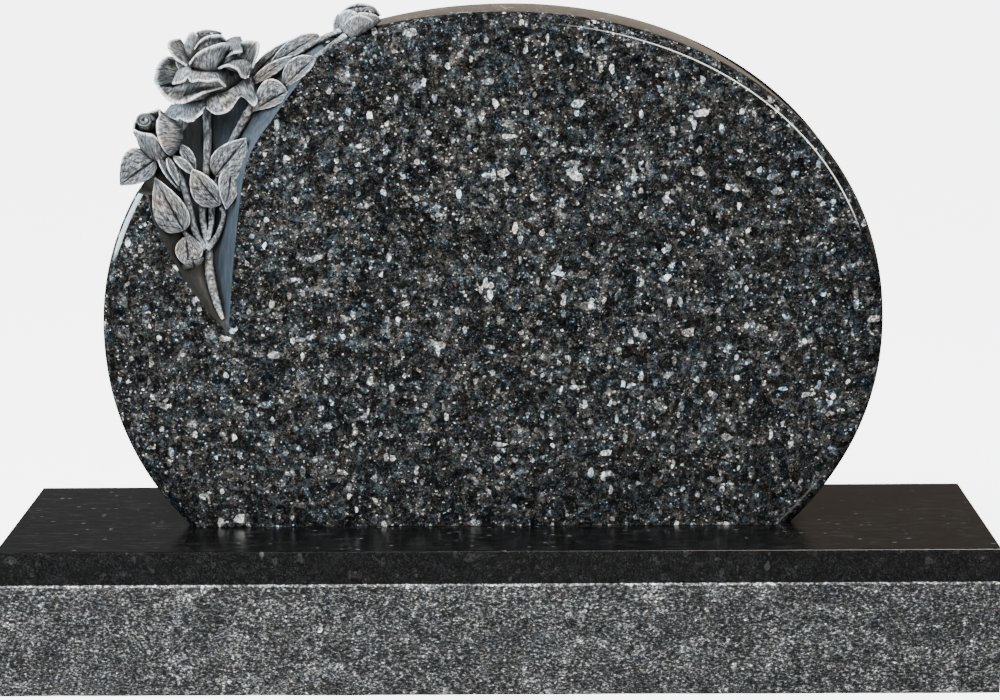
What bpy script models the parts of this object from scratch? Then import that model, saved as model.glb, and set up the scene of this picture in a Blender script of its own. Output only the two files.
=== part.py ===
"""A granite monument: an oval headstone with a carved rose spray, on a rock-faced base.

Metres, +Z up. The front faces -Y, +X is the viewer's right, and the origin is the centre of
the base's underside. Two stones: the base lies on the ground and the headstone stands on it.
"""

import math

import bmesh
import bpy
import numpy as np
from mathutils import Matrix, Vector

# The base: a polished slab top and margin over a rock-faced body
BASE_WIDTH = 1.370
BASE_DEPTH = 0.320
BASE_HEIGHT = 0.206
MARGIN_HEIGHT = 0.047
BASE_ARRIS = 0.0015
ROCK_PROUD = 0.0035
ROCK_WAVE = 0.0022
ROCK_STEP = 0.045
ROCK_ROWS = 5

# The headstone: a tilted superellipse slab, cut flat where it stands
STONE_HALF_WIDTH = 0.541
STONE_HALF_HEIGHT = 0.4367
STONE_POWER = 2.085
STONE_TILT = 0.042
STONE_OFF_CENTRE = -0.0057
STONE_CENTRE_UP = 0.2799
STONE_THICKNESS = 0.200
BACK_LEDGE = 0.006
ROUND_OVER = 0.0195
ROUND_STEPS = 5
FOOT_ARRIS = 0.004
OUTLINE_POINTS = 96
SETTING_GAP = 0.0003
FLAT_ANGLE = math.radians(0.5)

# The rose spray, drawn in its own units of a millimetre at this height above its tip
SPRAY_HEIGHT = 0.441
SPRAY_DRAWN_HEIGHT = 441.0
SPRAY_ANGLE = math.radians(141.0)
SPRAY_TIP_RIGHT = 0.0718
SPRAY_TIP_DOWN = 0.2545
SLANT_RIGHT = 0.165
SLANT_UP = 0.11
PETAL_WALL = 4.6
LEAF_WALL = 5.0
LEAF_POINT = 1.55
CARVING_CELL = 0.0024
CARVING_SHARE = 0.064

# The hollow behind the spray, in the same units
HOLLOW_DEPTH = 50.0
HOLLOW_RISE = 105.0
HOLLOW_TOP = 500.0
HOLLOW_FRONT = 60.0
HOLLOW_ROWS = 26
HOLLOW_COLUMNS = 14

# Worked out from the sizes above
UNIT = SPRAY_HEIGHT / SPRAY_DRAWN_HEIGHT
STONE_BACK = BASE_DEPTH / 2 - BACK_LEDGE
STONE_FRONT = STONE_BACK - STONE_THICKNESS
STONE_FOOT = BASE_HEIGHT + SETTING_GAP
STONE_CENTRE = (STONE_OFF_CENTRE, BASE_HEIGHT + STONE_CENTRE_UP)

# Petals: bends of the root, bends of the lip (right, up, forward), belly and lip curl
BLOOM_PETALS = (
    # the skirt, left and right of its notch
    (((-66, 309, -30), (-50, 311, -22), (-36, 313, -18), (-19, 316, -20)),
     ((-78, 296, -30), (-70, 292, -24), (-60, 288, -18), (-54, 290, -15), (-50, 287, -10),
      (-45, 285, -8), (-39, 286, -7), (-33, 290, -8), (-27, 297, -11), (-20, 306, -15)), 5, 3),
    (((-20, 318, -22), (-6, 323, -18), (8, 325, -18), (22, 333, -22), (34, 342, -28),
      (46, 348, -34)),
     ((-20, 306, -15), (-13, 299, -9), (-5, 295, -5), (7, 297, -4), (15, 302, -6),
      (21, 310, -10), (26, 317, -15), (31, 320, -18), (37, 317, -14), (41, 311, -9),
      (45, 306, -7), (50, 308, -9), (51, 317, -16), (47, 332, -26)), 6, 3),
    # the great outer petals: the left wall and the bowl below it
    (((-50, 366, -38), (-46, 356, -38), (-50, 346, -38), (-58, 340, -36)),
     ((-58, 372, -28), (-70, 374, -22), (-81, 365, -14), (-86, 352, -10), (-88, 342, -10),
      (-84, 334, -10)), -4, 4),
    (((-66, 343, -42), (-46, 342, -48), (-20, 342, -48), (0, 342, -46)),
     ((-86, 338, -12), (-80, 327, -6), (-72, 317, -3), (-60, 311, 0), (-46, 312, 2),
      (-32, 319, 0), (-20, 325, -5), (-6, 329, -14), (6, 332, -26)), -8, 5),
    # the outer petals at the right
    (((22, 362, -34), (34, 356, -30), (44, 354, -28)),
     ((31, 376, -28), (31, 392, -24), (39, 395, -20), (48, 395, -18), (56, 392, -16),
      (55, 381, -16), (50, 368, -18), (46, 358, -20)), -3, 3),
    (((14, 397, -34), (22, 400, -34), (33, 401, -32)),
     ((8, 367, -14), (13, 373, -9), (20, 377, -7), (27, 378, -8), (33, 379, -13)), 4, 4),
    (((8, 363, -22), (22, 370, -22), (34, 371, -20), (46, 362, -18)),
     ((-2, 357, -8), (6, 360, -2), (13, 361, 1), (20, 358, 2), (26, 354, 0),
      (31, 345, -6), (38, 344, -14)), 5, 4),
    # the upper left petals
    (((-36, 364, -24), (-40, 374, -30), (-42, 384, -34)),
     ((-42, 361, -10), (-50, 366, -10), (-58, 371, -11), (-64, 379, -13), (-68, 388, -17),
      (-66, 395, -21), (-59, 398, -24), (-49, 399, -28)), 3, 3),
    (((-40, 360, -14), (-38, 364, -16)),
     ((-53, 355, -14), (-57, 364, -16), (-58, 371, -18)), 1, 0),
    (((-36, 368, -22), (-28, 374, -20)),
     ((-44, 384, -18), (-44, 393, -17), (-40, 402, -17), (-34, 408, -18), (-28, 405, -18),
      (-25, 397, -17)), 7, 1),
    # the cup: its back, the second lip and the front wall with its rolled lip
    (((-22, 384, -30), (6, 386, -30)),
     ((-30, 404, -28), (-26, 409, -28), (-14, 411, -27), (-2, 409, -27), (6, 404, -27),
      (13, 396, -28)), 3, 1),
    (((-26, 374, -20), (-8, 372, -16), (8, 374, -20)),
     ((-32, 384, -14), (-26, 393, -9), (-17, 400, -6), (-4, 403, -5), (6, 402, -7),
      (13, 394, -14)), 4, 5),
    (((-30, 354, -16), (-14, 350, -10), (0, 352, -16)),
     ((-40, 364, -8), (-31, 376, 0), (-20, 383, 4), (-5, 389, 5), (8, 392, 1),
      (17, 391, -8)), 8, 7),
    # the collar under the cup
    (((-56, 354, -16), (-42, 361, -12), (-32, 356, -10), (-14, 355, -8), (2, 355, -12)),
     ((-64, 337, -4), (-54, 338, 1), (-46, 341, 3), (-42, 345, 0), (-38, 339, 4),
      (-28, 341, 5), (-16, 339, 7), (-2, 341, 5), (9, 332, -6)), 5, 4),
)
LEFT_BUD_PETALS = (
    (((-110, 274, -34), (-98, 272, -34), (-86, 274, -34)),
     ((-119, 276, -22), (-117, 286, -20), (-110, 292, -19), (-102, 297, -19),
      (-92, 301, -20), (-82, 304, -22)), 2, 3),
    (((-113, 262, -34), (-111, 252, -36), (-103, 241, -36), (-92, 234, -32),
      (-80, 231, -30), (-70, 235, -30)),
     ((-120, 274, -24), (-113, 274, -18), (-106, 272, -14), (-99, 271, -11), (-92, 269, -9),
      (-85, 262, -8)), 13, 4),
    (((-72, 292, -36), (-60, 286, -36), (-53, 276, -36), (-52, 266, -36), (-54, 256, -34),
      (-60, 246, -32), (-68, 238, -30)),
     ((-84, 304, -24), (-83, 295, -15), (-87, 287, -9), (-88, 278, -5), (-87, 269, -4),
      (-85, 260, -5), (-81, 252, -8), (-76, 245, -14), (-69, 239, -24)), 14, 2),
)
RIGHT_BUD_PETALS = (
    (((172, 412, -30), (200, 420, -28)),
     ((161, 423, -28), (168, 432, -24), (178, 440, -20), (190, 444, -17), (202, 443, -16),
      (213, 438, -16), (222, 427, -18)), 4, 3),
    (((160, 404, -32), (164, 399, -24), (174, 395, -16)),
     ((159, 414, -32), (164, 427, -22), (176, 435, -12), (188, 431, -5), (192, 418, -2),
      (187, 401, -6)), 8, 2),
    (((174, 396, -14), (188, 400, -8), (203, 409, -6), (216, 417, -10)),
     ((183, 427, -8), (193, 431, -3), (204, 430, -2), (214, 427, -7), (222, 421, -14)), 8, 2),
)

# The turned-under edge of the low leaf, drawn as a petal
LEAF_CURLS = (
    (((-60, 88, -14), (-49, 95, -10), (-40, 94, -10), (-30, 99, -13)),
     ((-58, 82, -15), (-48, 84, -17), (-38, 87, -18), (-31, 96, -17)), 3, 0),
)

# Leaves: base right, up, forward, tip right, up, forward, half widths to the left and right
# of the way the leaf points, the widest place along it, and how far its middle stands out
LEAVES = (
    (-90, 234, -34, -140, 200, -24, 10, 33, 0.38, 5),
    (-55, 136, -16, -92, 210, -6, 30, 18, 0.32, 5),
    (-4, 171, -18, -41, 221, -8, 24, 13, 0.42, 5),
    (-9, 211, -22, 35, 263, -10, 22, 26, 0.36, 4),
    (14, 223, -19, 4, 165, -10, 15, 16, 0.36, 4),
    (-53, 127, -20, -51, 86, -12, 22, 17, 0.46, 4),
    (42, 345, -46, 100, 395, -28, 10, 15, 0.45, 4),
    (44, 337, -34, 102, 374, -14, 9, 7, 0.45, 4),
    (70, 360, -30, 138, 402, -16, 15, 7, 0.55, 4),
    (87, 331, -16, 131, 371, 0, 21, 7, 0.52, 4),
    (45, 300, -22, 93, 326, -6, 28, 9, 0.66, 4),
    (-86, 238, -22, -58, 191, -24, 5, 6, 0.40, 2),
    (-74, 237, -16, -59, 198, -20, 5, 5, 0.40, 2),
    (-66, 239, -18, -38, 214, -18, 7, 5, 0.50, 3),
    (-56, 254, -26, -37, 217, -26, 10, 6, 0.45, 3),
    (166, 399, -16, 164, 430, -18, 8, 6, 0.45, 3),
)

# Stems: right, up, forward, radius at each bend
STEMS = (
    ((-17, 315, -44, 6.0), (-18, 250, -36, 6.0), (-21, 215, -33, 5.8), (-28, 165, -32, 5.2),
     (-27, 138, -29, 5.0), (-24, 112, -27, 4.5)),
    ((48, 310, -30, 6.5), (33, 287, -26, 6.5), (20, 264, -27, 6.2), (0, 220, -33, 5.4),
     (-14, 172, -32, 4.8), (-17, 145, -29, 4.6), (-22, 122, -27, 4.2)),
    ((-68, 238, -28, 5.0), (-54, 200, -24, 5.0), (-46, 165, -22, 4.8), (-40, 135, -23, 4.8),
     (-28, 110, -25, 4.6)),
    ((-58, 138, -23, 3.6), (-50, 128, -21, 3.6), (-38, 119, -22, 3.8), (-27, 110, -25, 4.0)),
    ((-3, 168, -22, 3.6), (1, 158, -22, 3.6), (-4, 140, -24, 3.8), (-12, 124, -24, 4.2),
     (-24, 110, -25, 4.4)),
    ((-24, 122, -31, 6.2), (-22, 100, -29, 6.6), (-22, 80, -24, 7.0), (-19, 60, -19, 7.0),
     (-15, 40, -13, 6.2), (-11, 25, -9, 4.8), (-6, 12, -5, 2.6)),
    ((60, 345, -38, 3.6), (112, 379, -18, 3.8), (138, 395, -13, 3.8), (168, 408, -14, 4.2)),
    ((90, 346, -26, 3.8), (131, 371, -6, 3.8), (148, 384, -4, 3.8), (174, 401, -10, 4.4)),
)

# Masses that carry the carving: centre right, up, forward, half sizes right, up, deep, turn
MASSES = (
    (-14, 342, -76, 52, 38, 26, 0),
    (-52, 274, -62, 18, 20, 16, 0),
    (-12, 376, -48, 26, 26, 22, 0),
    (-82, 260, -42, 22, 30, 18, 25),
    (-98, 284, -30, 16, 14, 16, 20),
    (-112, 226, -50, 20, 14, 12, 0),
    (192, 417, -26, 28, 19, 18, 20),
    (192, 429, -22, 25, 12, 13, 15),
    (26, 376, -48, 24, 22, 14, 0),
    (75, 352, -52, 50, 16, 14, 40),
    (108, 352, -30, 26, 8, 16, 42),
    (62, 316, -34, 26, 10, 16, 30),
    (128, 382, -30, 56, 6, 10, 30),
)

# Swirls at the hearts: centre right, up, forward, half width, half height, ridge radius
SWIRLS = (
    (-10, 404, -20, 16, 4, 1.7),
    (-103, 288, -12, 12, 9, 2.2),
    (204, 431, -6, 11, 7, 1.8),
)
SWIRL_TURNS = 2.2
SWIRL_POINTS = 28

# The hollow's edges: up, then right, from the tip to past the outline
HOLLOW_LEFT = ((-6, -1), (25, -28), (70, -58), (112, -80), (155, -99), (190, -106),
               (215, -150), (500, -260))
HOLLOW_RIGHT = ((-6, 1), (40, 5), (100, 12), (160, 20), (220, 31), (255, 46), (292, 73),
                (327, 99), (370, 133), (397, 168), (420, 228), (500, 330))


def clear_scene():
    """Remove whatever the file opened with."""
    for thing in list(bpy.data.objects):
        bpy.data.objects.remove(thing, do_unlink=True)


def new_collection(name):
    """A collection of this name in the scene."""
    collection = bpy.data.collections.new(name)
    bpy.context.scene.collection.children.link(collection)
    return collection


def new_object(name, mesh, collection):
    """An object for a mesh or curve, in a collection."""
    thing = bpy.data.objects.new(name, mesh)
    collection.objects.link(thing)
    return thing


def stone_material(name, colour, roughness):
    """A plain stone finish."""
    material = bpy.data.materials.new(name)
    material.use_nodes = True
    shader = material.node_tree.nodes["Principled BSDF"]
    shader.inputs["Base Color"].default_value = (*colour, 1.0)
    shader.inputs["Roughness"].default_value = roughness
    shader.inputs["Metallic"].default_value = 0.0
    material.diffuse_color = (*colour, 1.0)
    return material


def evaluated_mesh(thing):
    """A plain mesh of an object with its modifiers applied, in world space, caps welded."""
    bpy.context.view_layer.update()
    depsgraph = bpy.context.evaluated_depsgraph_get()
    mesh = bpy.data.meshes.new_from_object(thing.evaluated_get(depsgraph), depsgraph=depsgraph)
    mesh.transform(thing.matrix_world)
    work = bmesh.new()
    work.from_mesh(mesh)
    bmesh.ops.remove_doubles(work, verts=work.verts, dist=0.00001)
    work.to_mesh(mesh)
    work.free()
    return mesh


def merge_flat_faces(mesh):
    """Make each flat stretch of a mesh one face."""
    work = bmesh.new()
    work.from_mesh(mesh)
    bmesh.ops.dissolve_limit(work, angle_limit=FLAT_ANGLE, verts=work.verts, edges=work.edges)
    work.to_mesh(mesh)
    work.free()


def make_cutter(thing):
    """Hide an object that only shapes another."""
    thing.hide_render = True
    thing.display_type = "WIRE"


def add_boolean(thing, operation, other):
    """Cut or join another object."""
    modifier = thing.modifiers.new(operation.lower(), "BOOLEAN")
    modifier.operation = operation
    modifier.solver = "EXACT"
    modifier.object = other
    make_cutter(other)
    return modifier


def outline_point(angle):
    """Right and up of the headstone's outline at an angle about its centre, as arrays."""
    angle = np.asarray(angle, dtype=float)
    power = 2.0 / STONE_POWER
    across = STONE_HALF_WIDTH * np.sign(np.cos(angle)) * np.abs(np.cos(angle)) ** power
    along = STONE_HALF_HEIGHT * np.sign(np.sin(angle)) * np.abs(np.sin(angle)) ** power
    right = across * math.cos(STONE_TILT) - along * math.sin(STONE_TILT)
    up = across * math.sin(STONE_TILT) + along * math.cos(STONE_TILT)
    return STONE_CENTRE[0] + right, STONE_CENTRE[1] + up


def spray_tip():
    """Right and up of the hollow's lowest point, set from the outline beside it."""
    right, up = outline_point(SPRAY_ANGLE)
    return float(right) + SPRAY_TIP_RIGHT, float(up) - SPRAY_TIP_DOWN


def carved(right, up, forward):
    """World points from the spray's own units; what stands further out leans right and up."""
    tip_right, tip_up = spray_tip()
    right, up, forward = np.broadcast_arrays(right, up, forward)
    x = tip_right + UNIT * (right + SLANT_RIGHT * forward)
    y = STONE_FRONT - UNIT * forward
    z = tip_up + UNIT * (up + SLANT_UP * forward)
    return np.stack([x, y, z], axis=-1)


def smooth_step(low, high, value):
    """0 below low, 1 above high, an S curve between."""
    share = np.clip((value - low) / (high - low), 0.0, 1.0)
    return share * share * (3.0 - 2.0 * share)


def spline(points, count):
    """A smooth curve through rows of numbers (Catmull-Rom), read at even steps."""
    rows = np.array(points, dtype=float)
    ends = np.vstack([2 * rows[0] - rows[1], rows, 2 * rows[-1] - rows[-2]])
    place = np.linspace(0.0, len(rows) - 1.0, count)
    start = np.minimum(place.astype(int), len(rows) - 2)
    share = (place - start)[:, None]
    a, b, c, d = (ends[start + k] for k in range(4))
    return 0.5 * (2 * b + (c - a) * share + (2 * a - 5 * b + 4 * c - d) * share ** 2
                  + (3 * b - 3 * c + d - a) * share ** 3)


def grid_faces(rows, columns):
    """Quads of a grid whose points are counted row by row."""
    faces = []
    for row in range(rows - 1):
        for column in range(columns - 1):
            corner = row * columns + column
            faces.append((corner, corner + 1, corner + columns + 1, corner + columns))
    return faces


def shell(name, points, wall, collection):
    """A grid of world points as a sheet with a thickness."""
    rows, columns, _ = points.shape
    mesh = bpy.data.meshes.new(name)
    mesh.from_pydata(points.reshape(-1, 3).tolist(), [], grid_faces(rows, columns))
    work = bmesh.new()
    work.from_mesh(mesh)
    bmesh.ops.remove_doubles(work, verts=work.verts, dist=0.00002)
    bmesh.ops.recalc_face_normals(work, faces=work.faces)
    work.to_mesh(mesh)
    work.free()
    thing = new_object(name, mesh, collection)
    thickness = thing.modifiers.new("wall", "SOLIDIFY")
    thickness.thickness = wall * UNIT
    thickness.offset = 0.0
    return thing


def petal_points(row, rows=9, columns=25):
    """A petal: lofted from its root to its lip, bellied out between them, its last part curled
    forward."""
    root, lip, belly, curl = row
    along = np.linspace(0.0, 1.0, rows)[:, None, None]
    across = np.linspace(-1.0, 1.0, columns)[None, :]
    rim = spline(lip, columns)[None, :, :]
    points = spline(root, columns)[None, :, :] * (1.0 - along) + rim * along
    along = along[:, :, 0]
    rise = points[..., 2] + belly * np.sin(math.pi * along ** 0.8) * (1.0 - across ** 4)
    rise = rise + curl * smooth_step(0.72, 1.0, along)
    return carved(points[..., 0], points[..., 1], rise)


def leaf_points(row, rows=13, columns=11):
    """A leaf: an oval with a point, halves that rise from a groove along the middle."""
    x0, z0, f0, x1, z1, f1, left, right, widest, rise = row
    along = np.linspace(0.0, 1.0, rows)[:, None]
    across = np.linspace(-1.0, 1.0, columns)[None, :]
    length = math.hypot(x1 - x0, z1 - z0)
    way = ((x1 - x0) / length, (z1 - z0) / length)
    belly = LEAF_POINT * widest
    taper = LEAF_POINT * (1.0 - widest)
    peak = widest ** belly * (1.0 - widest) ** taper
    width = along ** belly * (1.0 - along) ** taper / peak
    half = np.where(across < 0.0, right, left)
    side = across * half * width
    x = x0 + (x1 - x0) * along - way[1] * side
    z = z0 + (z1 - z0) * along + way[0] * side
    forward = f0 + (f1 - f0) * along + rise * np.sin(math.pi * along)
    groove = 2.4 * np.exp(-(across / 0.18) ** 2) * width
    puff = (1.6 * np.abs(across) - 1.8 * across) * width
    return carved(x, z, forward - groove + puff)


def tube(name, points, radii, collection):
    """A round rod of changing radius through world points, as a closed mesh."""
    curve = bpy.data.curves.new(name, "CURVE")
    curve.dimensions = "3D"
    curve.bevel_depth = 1.0
    curve.bevel_resolution = 2
    curve.use_fill_caps = True
    strand = curve.splines.new("POLY")
    strand.points.add(len(points) - 1)
    for point, place, radius in zip(strand.points, points, radii):
        point.co = (*place, 1.0)
        point.radius = radius
    source = new_object(name + "_curve", curve, collection)
    mesh = evaluated_mesh(source)
    bpy.data.objects.remove(source, do_unlink=True)
    return new_object(name, mesh, collection)


def stem(name, bends, collection):
    """A stem through its bends."""
    rows = spline(bends, 5 * len(bends))
    points = carved(rows[:, 0], rows[:, 1], rows[:, 2])
    return tube(name, points.tolist(), (rows[:, 3] * UNIT).tolist(), collection)


def swirl(name, row, collection):
    """The rolled petals at a heart: a spiral ridge."""
    right, up, forward, half_width, half_height, radius = row
    turn = np.linspace(0.0, SWIRL_TURNS * 2 * math.pi, SWIRL_POINTS)
    size = 1.0 - 0.85 * turn / turn[-1]
    points = carved(right + half_width * size * np.cos(turn),
                    up + half_height * size * np.sin(turn), forward + 4.0 * (1.0 - size))
    return tube(name, points.tolist(), [radius * UNIT] * SWIRL_POINTS, collection)


def mass(name, row, collection):
    """A rounded mass of stone left behind the carving."""
    right, up, forward, half_right, half_up, half_deep, turn = row
    mesh = bpy.data.meshes.new(name)
    work = bmesh.new()
    bmesh.ops.create_uvsphere(work, u_segments=24, v_segments=14, radius=1.0)
    sizes = Matrix.Diagonal(Vector((half_right, half_deep, half_up)) * UNIT).to_4x4()
    place = Matrix.Translation(Vector(carved(right, up, forward).tolist()))
    work.transform(place @ Matrix.Rotation(math.radians(-turn), 4, "Y") @ sizes)
    work.to_mesh(mesh)
    work.free()
    return new_object(name, mesh, collection)


def largest_body(mesh):
    """Keep only the biggest shell of a mesh, so no crumb or sealed hollow is left."""
    work = bmesh.new()
    work.from_mesh(mesh)
    bodies = []
    unseen = set(work.verts)
    while unseen:
        body = set()
        front = [unseen.pop()]
        while front:
            vertex = front.pop()
            body.add(vertex)
            for edge in vertex.link_edges:
                other = edge.other_vert(vertex)
                if other in unseen:
                    unseen.discard(other)
                    front.append(other)
        bodies.append(body)
    bodies.sort(key=len, reverse=True)
    for body in bodies[1:]:
        bmesh.ops.delete(work, geom=list(body), context="VERTS")
    work.to_mesh(mesh)
    work.free()


def build_spray(collection):
    """The whole carving fused into one body: petals, buds, leaves, stems and what carries them."""
    pieces = []
    for group, rows in (("bloom", BLOOM_PETALS), ("left_bud", LEFT_BUD_PETALS),
                        ("right_bud", RIGHT_BUD_PETALS), ("curled", LEAF_CURLS)):
        for number, row in enumerate(rows):
            name = "%s_petal_%d" % (group, number)
            pieces.append(shell(name, petal_points(row), PETAL_WALL, collection))
    for number, row in enumerate(LEAVES):
        pieces.append(shell("leaf_%d" % number, leaf_points(row), LEAF_WALL, collection))
    for number, bends in enumerate(STEMS):
        pieces.append(stem("stem_%d" % number, bends, collection))
    for number, row in enumerate(SWIRLS):
        pieces.append(swirl("swirl_%d" % number, row, collection))
    for number, row in enumerate(MASSES):
        pieces.append(mass("mass_%d" % number, row, collection))

    joined = bmesh.new()
    for piece in pieces:
        joined.from_mesh(evaluated_mesh(piece))
        bpy.data.objects.remove(piece, do_unlink=True)
    mesh = bpy.data.meshes.new("spray")
    joined.to_mesh(mesh)
    joined.free()

    rough = new_object("spray_rough", mesh, collection)
    fuse = rough.modifiers.new("fuse", "REMESH")
    fuse.mode = "VOXEL"
    fuse.voxel_size = CARVING_CELL
    fused = evaluated_mesh(rough)
    bpy.data.objects.remove(rough, do_unlink=True)
    largest_body(fused)

    spray = new_object("spray", fused, collection)
    soften = spray.modifiers.new("soften", "SMOOTH")
    soften.factor = 0.5
    soften.iterations = 2
    fewer = spray.modifiers.new("fewer", "DECIMATE")
    fewer.ratio = CARVING_SHARE
    fewer.use_collapse_triangulate = True
    return spray


def build_hollow(collection):
    """The cutter of the hollow: a scoop from its tip upwards, deepest right of its middle."""
    ups = np.linspace(-6.0, HOLLOW_TOP, HOLLOW_ROWS)
    left_rows = spline(HOLLOW_LEFT, 200)
    right_rows = spline(HOLLOW_RIGHT, 200)
    left = np.interp(ups, left_rows[:, 0], left_rows[:, 1])
    right = np.interp(ups, right_rows[:, 0], right_rows[:, 1])
    deep = HOLLOW_DEPTH * (1.0 - np.exp(-np.maximum(ups, 0.0) / HOLLOW_RISE)) + 0.2
    across = np.linspace(-1.0, 1.0, HOLLOW_COLUMNS)[None, :]
    x = left[:, None] + (right - left)[:, None] * (across + 1.0) / 2.0
    floor = -deep[:, None] * (1.0 - np.abs(across) ** 3.0)
    bottom = carved(x, ups[:, None], floor)
    top = carved(x, ups[:, None], np.full_like(x, HOLLOW_FRONT))
    count = bottom.shape[0] * bottom.shape[1]
    rows, columns = x.shape
    faces = grid_faces(rows, columns)
    faces += [tuple(index + count for index in reversed(face)) for face in faces]
    edge = [row * columns for row in range(rows)]
    rim = list(range(columns)) + [start + columns - 1 for start in edge[1:]]
    rim += [(rows - 1) * columns + column for column in range(columns - 2, -1, -1)]
    rim += list(reversed(edge[1:-1]))
    for here, there in zip(rim, rim[1:] + rim[:1]):
        faces.append((here, here + count, there + count, there))
    mesh = bpy.data.meshes.new("hollow")
    points = np.concatenate([bottom.reshape(-1, 3), top.reshape(-1, 3)])
    mesh.from_pydata(points.tolist(), [], faces)
    work = bmesh.new()
    work.from_mesh(mesh)
    bmesh.ops.recalc_face_normals(work, faces=work.faces)
    work.to_mesh(mesh)
    work.free()
    return new_object("hollow", mesh, collection)


def build_headstone(collection, cutters):
    """The slab with its round-over, cut flat at its foot, hollowed, with the spray on it."""
    curve = bpy.data.curves.new("outline", "CURVE")
    curve.dimensions = "2D"
    curve.fill_mode = "BOTH"
    curve.extrude = STONE_THICKNESS / 2
    strand = curve.splines.new("POLY")
    strand.points.add(OUTLINE_POINTS - 1)
    strand.use_cyclic_u = True
    right, up = outline_point(np.linspace(0.0, 2 * math.pi, OUTLINE_POINTS, endpoint=False))
    for point, x, z in zip(strand.points, right.tolist(), up.tolist()):
        point.co = (x, z, 0.0, 1.0)
    outline = new_object("outline", curve, cutters)
    outline.rotation_euler = (math.pi / 2, 0.0, 0.0)
    outline.location = (0.0, (STONE_FRONT + STONE_BACK) / 2, 0.0)
    slab = new_object("headstone", evaluated_mesh(outline), collection)
    bpy.data.objects.remove(outline, do_unlink=True)
    merge_flat_faces(slab.data)

    round_over = slab.modifiers.new("round_over", "BEVEL")
    round_over.width = ROUND_OVER
    round_over.segments = ROUND_STEPS
    round_over.limit_method = "ANGLE"
    round_over.angle_limit = math.radians(60.0)
    round_over.use_clamp_overlap = False

    bpy.ops.mesh.primitive_cube_add(size=1.0)
    ground = bpy.context.object
    ground.name = "ground_cut"
    ground.data.transform(Matrix.Diagonal((BASE_WIDTH, 2 * BASE_DEPTH, BASE_HEIGHT * 4, 1.0)))
    ground.location = (0.0, 0.0, STONE_FOOT - BASE_HEIGHT * 2)
    for home in list(ground.users_collection):
        home.objects.unlink(ground)
    cutters.objects.link(ground)
    add_boolean(slab, "DIFFERENCE", ground)

    arris = slab.modifiers.new("foot_arris", "BEVEL")
    arris.width = FOOT_ARRIS
    arris.segments = 2
    arris.limit_method = "ANGLE"
    arris.angle_limit = math.radians(40.0)

    add_boolean(slab, "DIFFERENCE", build_hollow(cutters))
    add_boolean(slab, "UNION", build_spray(cutters))
    return slab


def rock_wave(run, up):
    """How far the rock face stands out at a place round the base, as a share."""
    return (0.5 * np.sin(9.0 * run + 21.0 * up) + 0.3 * np.sin(23.0 * run - 34.0 * up + 1.7)
            + 0.2 * np.sin(41.0 * run + 12.0 * up + 0.6))


def rock_body_points():
    """Rings of points up the rock-faced body, each pushed out by the wave."""
    half_width = BASE_WIDTH / 2 + ROCK_PROUD
    half_depth = BASE_DEPTH / 2 + ROCK_PROUD
    wide = max(2, round(2 * half_width / ROCK_STEP))
    deep = max(2, round(2 * half_depth / ROCK_STEP))
    front = np.linspace(-half_width, half_width, wide + 1)[:-1]
    side = np.linspace(-half_depth, half_depth, deep + 1)[:-1]
    x = np.concatenate([front, np.full(deep, half_width), -front, np.full(deep, -half_width)])
    y = np.concatenate([np.full(wide, -half_depth), side, np.full(wide, half_depth), -side])
    out_x = np.where(np.abs(x) >= half_width - 1e-9, np.sign(x), 0.0)
    out_y = np.where(np.abs(y) >= half_depth - 1e-9, np.sign(y), 0.0)
    rings = []
    for up in np.linspace(0.0, BASE_HEIGHT - MARGIN_HEIGHT, ROCK_ROWS):
        shape = ROCK_WAVE * rock_wave(x + 2.3 * y, up)
        push = shape if 0.0 < up < BASE_HEIGHT - MARGIN_HEIGHT - 1e-6 else 0.4 * shape
        rings.append(np.stack([x + out_x * push, y + out_y * push, np.full_like(x, up)], axis=-1))
    return np.array(rings)


def build_base(collection, cutters):
    """The rock-faced body joined to the polished slab above it."""
    rings = rock_body_points()
    rows, columns, _ = rings.shape
    faces = []
    for row in range(rows - 1):
        for column in range(columns):
            following = (column + 1) % columns
            here = row * columns
            faces.append((here + column, here + following,
                          here + columns + following, here + columns + column))
    faces.append(tuple(reversed(range(columns))))
    faces.append(tuple((rows - 1) * columns + column for column in range(columns)))
    mesh = bpy.data.meshes.new("base")
    mesh.from_pydata(rings.reshape(-1, 3).tolist(), [], faces)
    body = new_object("base", mesh, collection)

    slab_height = MARGIN_HEIGHT + MARGIN_HEIGHT / 2
    bpy.ops.mesh.primitive_cube_add(size=1.0)
    top = bpy.context.object
    top.name = "polished_top"
    top.data.transform(Matrix.Diagonal((BASE_WIDTH, BASE_DEPTH, slab_height, 1.0)))
    top.location = (0.0, 0.0, BASE_HEIGHT - slab_height / 2)
    for home in list(top.users_collection):
        home.objects.unlink(top)
    cutters.objects.link(top)
    arris = top.modifiers.new("arris", "BEVEL")
    arris.width = BASE_ARRIS
    arris.segments = 1
    add_boolean(body, "UNION", top)
    return body


def main():
    """Build the two stones."""
    clear_scene()
    monument = new_collection("granite_monument")
    cutters = new_collection("cutters")
    headstone = build_headstone(monument, cutters)
    base = build_base(monument, cutters)
    headstone.data.materials.append(stone_material("polished_granite", (0.035, 0.04, 0.05), 0.08))
    base.data.materials.append(stone_material("rock_faced_granite", (0.16, 0.17, 0.18), 0.75))


main()
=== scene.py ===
"""Looks of a granite monument: an oval polished headstone with a carved rose spray, on a
rock-faced base with a polished top."""

import math

import bmesh
import bpy
import numpy as np
from mathutils import Matrix, Vector


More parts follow.
